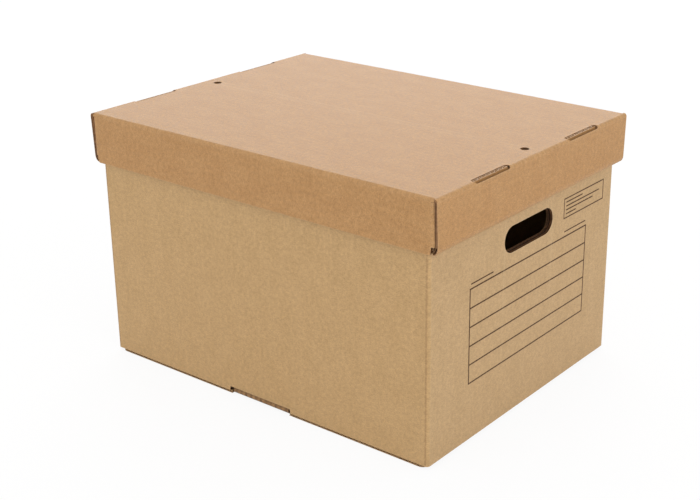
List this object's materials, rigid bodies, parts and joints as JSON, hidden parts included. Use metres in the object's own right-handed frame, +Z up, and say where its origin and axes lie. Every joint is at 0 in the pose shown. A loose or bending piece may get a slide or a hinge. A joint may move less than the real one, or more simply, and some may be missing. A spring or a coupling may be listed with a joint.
{
  "type": "document box",
  "caption": "Corrugated kraft document box with a roll-over-end lift-off lid, doubled ends with handle holes and a tuck-locked folding floor.",
  "frame": {"origin": "on the ground under the middle of the box", "axes": "+X along the length towards the labelled end, +Y across the width towards the rear wall, +Z up"},
  "size_m": [0.4192, 0.3168, 0.255],
  "materials": {
    "body_board": "plain kraft liner, matt, printed lines on one end",
    "body_inner_board": "plain kraft liner, matt",
    "lid_board": "plain kraft liner, matt",
    "lid_inner_board": "plain kraft liner, matt"
  },
  "bodies": {
    "carton": {"front_wall": "body_board", "rear_wall": "body_board", "right_end_wall": "body_board", "left_end_wall": "body_board", "right_rim_fold": "body_board", "left_rim_fold": "body_board", "glue_tab": "body_inner_board", "right_inner_end": "body_inner_board", "left_inner_end": "body_inner_board"},
    "lid": {"lid_top": "lid_board", "lid_front_skirt": "lid_board", "lid_rear_skirt": "lid_board", "lid_right_outer_end": "lid_board", "lid_left_outer_end": "lid_board", "lid_right_rim_fold": "lid_board", "lid_left_rim_fold": "lid_board", "lid_right_inner_end": "lid_inner_board", "lid_left_inner_end": "lid_inner_board", "lid_rear_right_corner_flap": "lid_inner_board", "lid_rear_left_corner_flap": "lid_inner_board", "lid_front_right_corner_flap": "lid_inner_board", "lid_front_left_corner_flap": "lid_inner_board"},
    "rear_floor": {"rear_floor_flap": "body_board", "lock_tongue": "body_board"},
    "front_floor": {"front_floor_flap": "body_inner_board"},
    "right_floor": {"right_floor_flap": "body_inner_board"},
    "left_floor": {"left_floor_flap": "body_inner_board"}
  },
  "joints": [
    {"name": "lid_lift", "type": "slide", "parent": "carton", "child": "lid", "axis": [0, 0, 1], "range_m": [0, 0.3]},
    {"name": "rear_flap_hinge", "type": "hinge", "parent": "carton", "child": "rear_floor", "pos_m": [0, 0.155, 0], "axis": [1, 0, 0], "range_deg": [0, 90]},
    {"name": "front_flap_hinge", "type": "hinge", "parent": "carton", "child": "front_floor", "pos_m": [0, -0.155, 0.0028], "axis": [-1, 0, 0], "range_deg": [0, 90]},
    {"name": "right_flap_hinge", "type": "hinge", "parent": "carton", "child": "right_floor", "pos_m": [0.2, 0, 0.0028], "axis": [0, -1, 0], "range_deg": [0, 90]},
    {"name": "left_flap_hinge", "type": "hinge", "parent": "carton", "child": "left_floor", "pos_m": [-0.2, 0, 0.0028], "axis": [0, 1, 0], "range_deg": [0, 90]}
  ],
  "couplings": [
    {"joint": "front_flap_hinge", "follows": "rear_flap_hinge", "ratio": 1},
    {"joint": "right_flap_hinge", "follows": "rear_flap_hinge", "ratio": 1},
    {"joint": "left_flap_hinge", "follows": "rear_flap_hinge", "ratio": 1}
  ]
}
